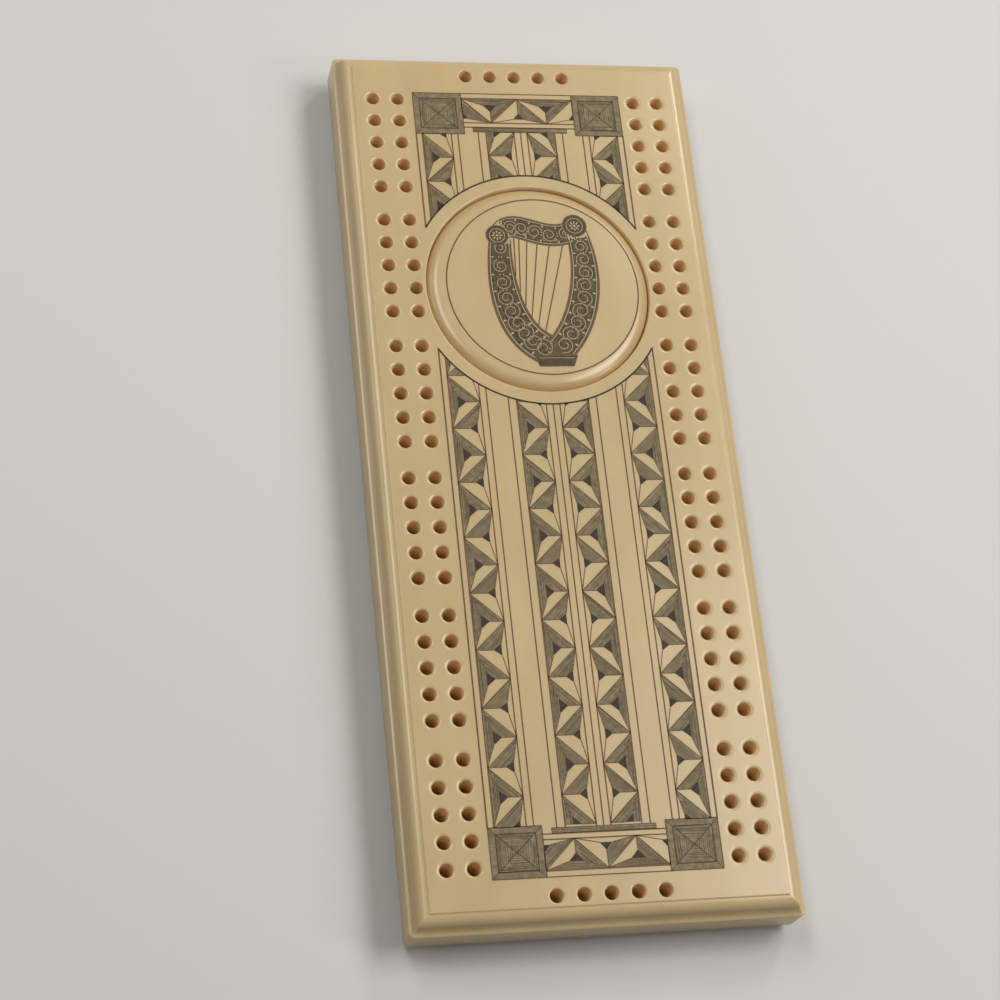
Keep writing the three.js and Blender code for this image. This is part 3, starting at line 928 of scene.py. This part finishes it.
def harp():
    """A plain lap harp of general form: box on the left, neck on top, bowed pillar on the right."""
    dice = random.Random(HARP_SEED)
    box = Limb(bezier((0.6, -17.6), (-7.6, -14.0), (-10.6, -3.0), (-8.7, 13.4)), 8.6, 5.6, 1.0)
    neck = Limb(bezier((-9.2, 13.8), (-5.5, 21.5), (1.5, 11.0), (10.4, 15.8)), 5.0, 5.8, 1.2)
    pillar = Limb(bezier((10.9, 16.6), (13.8, 5.0), (11.8, -8.5), (3.4, -17.4)), 5.4, 7.6, 1.2)
    base = [(-3.2, -18.9), (7.6, -18.9), (6.4, -21.8), (-2.2, -21.8)]
    scroll, capital = spot(*SCROLL, 28), spot(*CAPITAL, 28)
    throat = [(-1.6, -19.0), (6.0, -19.0), (3.9, -14.6), (2.9, -14.4)]
    wash, strokes, lines, light = [base, throat, scroll, capital], [], [], []
    for limb, count, covers in (
        (box, 9, [pillar.outline(), scroll, base]),
        (pillar, 10, [capital, base]),
        (neck, 6, [pillar.outline(), scroll, capital]),
    ):
        wash += uncovered(limb.strip(-1, 1), covers)
        lines += uncovered(limb.strip(-1, -0.9) + limb.strip(0.9, 1), covers)
        rails = limb.strip(-0.82, -0.77) + limb.strip(0.77, 0.82)
        light += uncovered(rails + scrollwork(limb, count), covers)
        strokes += uncovered(grain(limb, dice), covers)
    strokes += hatch(base, (1, 0.05), 0.3, 0.5, dice)
    for x, y, radius in (SCROLL, CAPITAL):
        lines += annulus(x, y, radius - 0.12, 0.26, 32)
        light += annulus(x, y, radius * 0.66, 0.16, 28) + [spot(x, y, 0.34)]
        strokes += hatch(spot(x, y, radius * 0.9, 20), (1, 1), 0.34, 0.5, dice)
        for k in range(8):
            angle = k * math.pi / 4
            light.append(leaf(*polar(x, y, 0.55, angle), angle, 0.95))
    for a, b in edges(base):
        lines += chain(a, b, 0.22)
    light += chain((-2.2, -19.6), (6.6, -19.6), 0.14)
    for i in range(STRINGS):
        share = i / (STRINGS - 1)
        lines += chain(neck.at(0.3 + 0.56 * share, -1), box.at(0.76 - 0.62 * share, -1), 0.3)
        light += annulus(*neck.at(0.26 + 0.55 * share, -0.45), 0.34, 0.14, 12)
    lines += annulus(*CIRCLE_SHIFT, MEDALLION_CIRCLE, 0.34, ROUND_SIDES)
    for name, shapes, height, material in (
        ("harp_wash", wash, TONE_HEIGHT, DARK_TONE),
        ("harp_hatching", strokes, STROKE_HEIGHT, BLACK),
        ("harp_lines", lines, LINE_HEIGHT, LINE),
    ):
        prisms(name, centred(shapes), height, material, disc_height)
    prisms("harp_ornament", centred(light), ORNAMENT_HEIGHT, IVORY, disc_height, "ivory_resin")


def uncovered(shapes, covers):
    """The shapes that no covering outline hides."""
    kept = []
    for shape in shapes:
        x = sum(point[0] for point in shape) / len(shape)
        y = sum(point[1] for point in shape) / len(shape)
        if not any(contains(cover, x, y) for cover in covers):
            kept.append(shape)
    return kept


def contains(polygon, x, y):
    inside = False
    for (ax, ay), (bx, by) in edges(polygon):
        if (ay > y) != (by > y) and x < ax + (bx - ax) * (y - ay) / (by - ay):
            inside = not inside
    return inside


def scrollwork(limb, count):
    """A row of curls along a member, each wound the other way from the last, with buds between."""
    shapes = []
    for k in range(count):
        t, hand = (k + 0.5) / count, 1 if k % 2 else -1
        (x, y), (nx, ny) = limb.curve(t)
        half = math.dist(limb.at(t, 0), limb.at(t, 1))
        mouth = math.atan2(-nx, ny) + hand * 0.4
        shapes += spiral(x, y, mouth, hand, 0.6 * half)
        for side in (-1, 1):
            x, y = limb.at(k / count, 0.5 * side)
            shapes.append(leaf(x, y, math.atan2(ny * side, nx * side), 0.28 * half))
            shapes.append(spot(*limb.at(k / count, 0.12 * side), 0.17))
    return shapes


def spiral(x, y, start, hand, reach):
    """A curl that winds in from its mouth."""
    steps, turn, width, points = 26, 0.36, 0.165, []
    for k in range(steps + 1):
        points.append(polar(x, y, reach * (1 - 0.72 * k / steps), start + hand * turn * k))
    return [stripe(a, b, width) for a, b in zip(points, points[1:])]


def centred(shapes):
    return [[(x + DISC_X, y + DISC_Y) for x, y in shape] for shape in shapes]


def chain(a, b, width):
    """A straight stroke in lengths of about 3 mm, which can follow a crowned face."""
    count = max(1, round(math.dist(a, b) / 3.0))

    def along(k):
        return (a[0] + (b[0] - a[0]) * k / count, a[1] + (b[1] - a[1]) * k / count)

    return [stripe(along(k), along(k + 1), width) for k in range(count)]


def grain(limb, dice):
    """Short dark strokes along a member, which give it a hand-cut tone."""
    rows, per_row, strokes = 7, 26, []
    for row in range(rows):
        across = -0.8 + 1.6 * (row + 0.5) / rows
        t = dice.uniform(0, 0.03)
        while t < 0.96:
            length = dice.uniform(0.3, 1.5) / per_row
            drift = dice.uniform(-0.08, 0.08)
            thick = dice.uniform(0.025, 0.075)
            end = min(t + length, 1.0)
            right = [limb.at(t, across - thick), limb.at(end, across + drift - thick / 2)]
            left = [limb.at(end, across + drift + thick / 2), limb.at(t, across + thick)]
            strokes.append(right + left)
            t = end + dice.uniform(0.1, 0.7) / per_row
    return strokes


# ---- Underside: plate, screws, pegs, felt and feet ----


def screw(node, name):
    """A domed, slotted screw with its head down and a threaded shank up into the slab."""
    box = Box(node)
    x, y, bottom, tip = box.middle.x, box.middle.y, box.low.z, box.high.z
    head, dome, ease, shoulder = box.half.x, 0.3, 0.15, bottom + 0.75
    shank, thread_depth, pitch = 1.3, 0.22, 0.5
    profile = [(0, bottom)]
    profile += arc(0, bottom + dome, head - 0.12, -dome, 88, 20, 8)
    profile += arc(head - ease, shoulder - ease, ease, ease, -60, 90, 6)
    profile += [(shank, shoulder), (shank, shoulder + 1.4)]
    z = shoulder + 1.6
    while z < tip - 1.2:
        profile += [(shank - thread_depth, z), (shank, z + pitch / 2)]
        z += pitch
    profile += [(0.5, tip - 0.1), (0, tip)]
    piece = lathe(name, node, profile, 48, BRASS, "turned_brass")
    slot_depth, slot_width = 0.42, 0.7
    cut_box(piece, (x, y, bottom), (slot_width / 2, head * 1.2, slot_depth))


def cut_box(piece, place, half):
    """Cuts a box out of a piece."""
    work = bmesh.new()
    size = Matrix.Diagonal([2 * side * MM for side in half] + [1])
    bmesh.ops.create_cube(work, size=1, matrix=Matrix.Translation(Vector(place) * MM) @ size)
    mesh = bpy.data.meshes.new("cutter")
    work.to_mesh(mesh)
    work.free()
    cutter = placed("cutter", mesh)
    modifier = piece.modifiers.new("slot", "BOOLEAN")
    modifier.object, modifier.operation, modifier.solver = cutter, "DIFFERENCE", "EXACT"
    graph = bpy.context.evaluated_depsgraph_get()
    piece.data = bpy.data.meshes.new_from_object(piece.evaluated_get(graph), depsgraph=graph)
    piece.modifiers.clear()
    bpy.data.objects.remove(cutter)


def peg(metal, number, material):
    """A turned peg lying along +Y: ball, waist, grooved grip, collar and a tapered point."""
    node = f"{metal}_peg_{number}"
    box = Box(node)
    start, length, widest, ball = box.low.y, box.high.y - box.low.y, box.half.x, 1.75
    outline = [(0, 0)]
    outline += arc(0, ball, 1.7, ball, -85, 55, 14)
    outline += [(1.05, 3.5), (1.0, 4.2), (1.15, 5.0), (1.6, 5.5)]
    grip_start, grip_end, grooves, root = 6.2, 16.6, 8, widest - 0.22
    outline += [(widest - 0.1, grip_start - 0.2)]
    step = (grip_end - grip_start) / grooves
    for k in range(grooves):
        y = grip_start + k * step
        outline += [(widest, y), (widest, y + step * 0.68), (root, y + step * 0.78), (root, y + step * 0.9)]
    outline += [(widest, grip_end), (widest - 0.08, grip_end + 0.3), (1.5, 18.6), (1.3, 19.0)]
    outline += [(1.45, 19.4), (1.45, 22.6), (1.35, 23.0), (1.08, length - 0.8)]
    outline += [(0.85, length - 0.25), (0.5, length - 0.04), (0, length)]
    profile = [(radius, start + y) for radius, y in outline]
    lathe(
        f"{metal}_cribbage_peg_{number}", node, profile, 40, material, f"turned_{metal}",
        body=f"peg_{metal}_{number}", lies=True,
    )


def pegs():
    for number in (1, 2, 3):
        peg("brass", number, BRASS)
        peg("steel", number, STEEL)


def plate_outline(pivot, keeper, grow):
    """The plate's outline, with the notch that runs from the keeper out through the +X side."""
    reach = keeper.y - pivot.y
    half = PLATE.high.x + grow
    low, high = PLATE.low.y - pivot.y - grow, PLATE.high.y - pivot.y + grow
    corner, slot_half, steps = 5.0 + grow, 1.6 - grow, 12
    points = []

    def corner_arc(x, y, start):
        for i in range(steps + 1):
            angle = start + (math.pi / 2) * i / steps
            points.append(polar(x, y, corner, angle))

    def notch_side(radius, inwards):
        edge = math.acos(half / radius)
        for i in range(steps + 1):
            share = i / steps if inwards else 1 - i / steps
            angle = edge + (math.pi / 2 - edge) * share
            points.append(polar(0, 0, radius, angle))

    corner_arc(half - corner, low + corner, -math.pi / 2)
    notch_side(reach - slot_half, True)
    for i in range(1, steps):
        angle = -math.pi / 2 - math.pi * i / steps
        points.append(polar(0, reach, slot_half, angle))
    notch_side(reach + slot_half, False)
    corner_arc(half - corner, high - corner, 0)
    corner_arc(-half + corner, high - corner, math.pi / 2)
    corner_arc(-half + corner, low + corner, math.pi)
    return [(x + pivot.x, y + pivot.y) for x, y in points]


def plate():
    """The swinging brass plate, with eased edges and a round hole for its pivot."""
    pivot, keeper = Box("pivot_screw").middle, Box("keeper_screw").middle
    solid = Solid()
    ease, rim, hole = 0.2, 0.15, 1.5
    half_levels = [(-ease - rim, 0.0), (-ease, 0.0), (-ease * 0.3, ease * 0.3), (0.0, ease)]
    levels = [(grow, PLATE.low.z + rise) for grow, rise in half_levels]
    levels += [(grow, PLATE.high.z - rise) for grow, rise in reversed(half_levels)]
    outer, inner = [], []
    for grow, z in levels:
        outer.append(solid.loop([(x, y, z) for x, y in plate_outline(pivot, keeper, grow)]))
        inner.append(solid.loop(circle(pivot.x, pivot.y, hole - grow, z, 48)))
    solid.stack(outer)
    solid.stack(inner)
    flat_face(solid, outer[0], [inner[0]])
    flat_face(solid, outer[-1], [inner[-1]])
    solid.piece("swing_plate", [PLATE_BRASS], "brushed_brass", body="plate", nodes=["pocket_plate"])


def washer(node):
    box = Box(node)
    low, high, bore, edge, ease = box.low.z, box.high.z, 1.5, box.half.x, 0.08
    profile = [(bore, low + ease), (bore + ease, low), (edge - ease, low), (edge, low + ease)]
    profile += [(edge, high - ease), (edge - ease, high), (bore + ease, high), (bore, high - ease)]
    lathe("washer", node, profile, 64, BRASS, "turned_brass")


def insert(node):
    """A threaded insert with a knurled barrel."""
    box = Box(node)
    low, high, bore, barrel = box.low.z, box.high.z, 1.6, box.half.x
    profile = [(bore + 0.2, low), (barrel - 0.2, low), (barrel - 0.05, low + 0.3), (barrel, low + 0.6)]
    profile += [(barrel, high - 0.6), (barrel - 0.2, high), (bore, high), (bore, low + 0.2)]
    lathe(f"{node}_knurled", node, profile, 60, BRASS, "turned_brass", knurl=-0.12)


def small_brass():
    washer("pivot_washer")
    insert("pivot_insert")
    insert("keeper_insert")
    screw("pivot_screw", "pivot_slotted_screw")
    screw("keeper_screw", "keeper_slotted_screw")


def felt():
    """The felt on the pocket's ceiling, with softly rounded edges."""
    solid = Solid()
    x, y, half, corner, ease = LINER.middle.x, LINER.middle.y, LINER.half, 2.7, 0.3
    sides = arc(-ease, LINER.low.z + ease, ease, -ease, 90, 0, 4)
    sides += arc(-ease, LINER.high.z - ease, ease, ease, 0, 90, 4)
    loops = []
    for grow, z in sides:
        loops.append(solid.loop(rounded_rectangle(half.x + grow, half.y + grow, corner + grow, z, x, y)))
    solid.stack(loops)
    solid.fan(loops[0], (x, y, LINER.low.z))
    solid.fan(loops[-1], (x, y, LINER.high.z))
    piece = solid.piece("felt_lining", [FELT], "green_felt", nodes=["pocket_liner"])


def foot(node):
    """A round rubber foot with a hollow in its sole."""
    half, toe, ease = Box(node).half, 0.5, 0.15
    radius, height = half.x, 2 * half.z
    profile = [(0, 0.35), (2.2, 0.3), (2.6, 0.0)]
    profile += arc(radius - 0.9, toe, toe, -toe, 90, 0, 5)
    profile += [(radius, height * 0.55), (radius, height - ease), (radius - ease, height), (0, height)]
    lathe(f"rubber_{node}", node, profile, 64, RUBBER, "black_rubber")


def feet():
    for end in ("near", "far"):
        for side in ("left", "right"):
            foot(f"foot_{end}_{side}")


# ---- Camera, floor and light ----


def camera():
    data = bpy.data.cameras.new("camera")
    data.lens, data.sensor_width = LENS_MM, SENSOR_MM
    data.clip_start, data.clip_end = 0.01, 20
    holder = placed("camera", data)
    azimuth, elevation = math.radians(CAMERA_AZIMUTH), math.radians(CAMERA_ELEVATION)
    level = math.cos(elevation)
    back = Vector((math.sin(azimuth) * level, -math.cos(azimuth) * level, math.sin(elevation)))
    place = Vector((AIM_X, AIM_Y, TOP)) + back * CAMERA_DISTANCE
    right = Vector((0, 1, 0)).cross(back).normalized()
    up = back.cross(right)
    turn = math.radians(CAMERA_ROLL)
    x_axis = right * math.cos(turn) + up * math.sin(turn)
    y_axis = up * math.cos(turn) - right * math.sin(turn)
    rotation = Matrix((x_axis, y_axis, back)).transposed().to_4x4()
    holder.matrix_world = Matrix.Translation(place * MM) @ rotation
    bpy.context.scene.camera = holder


def floor():
    reach = 3000
    verts = [(-reach, -reach, 0), (reach, -reach, 0), (reach, reach, 0), (-reach, reach, 0)]
    mesh = bpy.data.meshes.new("floor")
    mesh.from_pydata([Vector(v) * MM for v in verts], [], [(0, 1, 2, 3)])
    mesh.materials.append(node_material("floor_paper", (0.58, 0.572, 0.558), 0.85)[0])
    piece = placed("floor", mesh)


def area_light(name, place, width, length, watts):
    """A soft box that faces the board: width is across the board and length along it."""
    data = bpy.data.lights.new(name, "AREA")
    data.shape = "RECTANGLE"
    data.size, data.size_y = width * MM, length * MM
    data.energy, data.color = watts, LAMP_COLOUR
    lamp = placed(name, data)
    lamp.location = Vector(place) * MM
    back = Vector(place).normalized()
    along = (Vector((0, 1, 0)) - back * back.y).normalized()
    lamp.rotation_euler = Matrix((along.cross(back), along, back)).transposed().to_euler()


def lights():
    area_light("overhead", (530, 90, 850), 400, 500, 5.3)
    area_light("back", (-305, 340, 800), 210, 520, 2.5)
    area_light("near_right", (690, -275, 590), 200, 200, 1.05)
    area_light("far_right", (420, 570, 660), 160, 160, 1.5)
    area_light("side", (-700, 380, 430), 420, 420, 1.0)
    world = bpy.data.worlds.new("studio")
    world.use_nodes = True
    background = world.node_tree.nodes["Background"]
    background.inputs["Color"].default_value = WORLD_COLOUR
    background.inputs["Strength"].default_value = WORLD_STRENGTH
    bpy.context.scene.world = world
    bpy.context.scene.view_settings.view_transform = "Standard"


camera()
floor()
lights()
slab()
disc()
panel()
harp()
plate()
small_brass()
pegs()
felt()
feet()
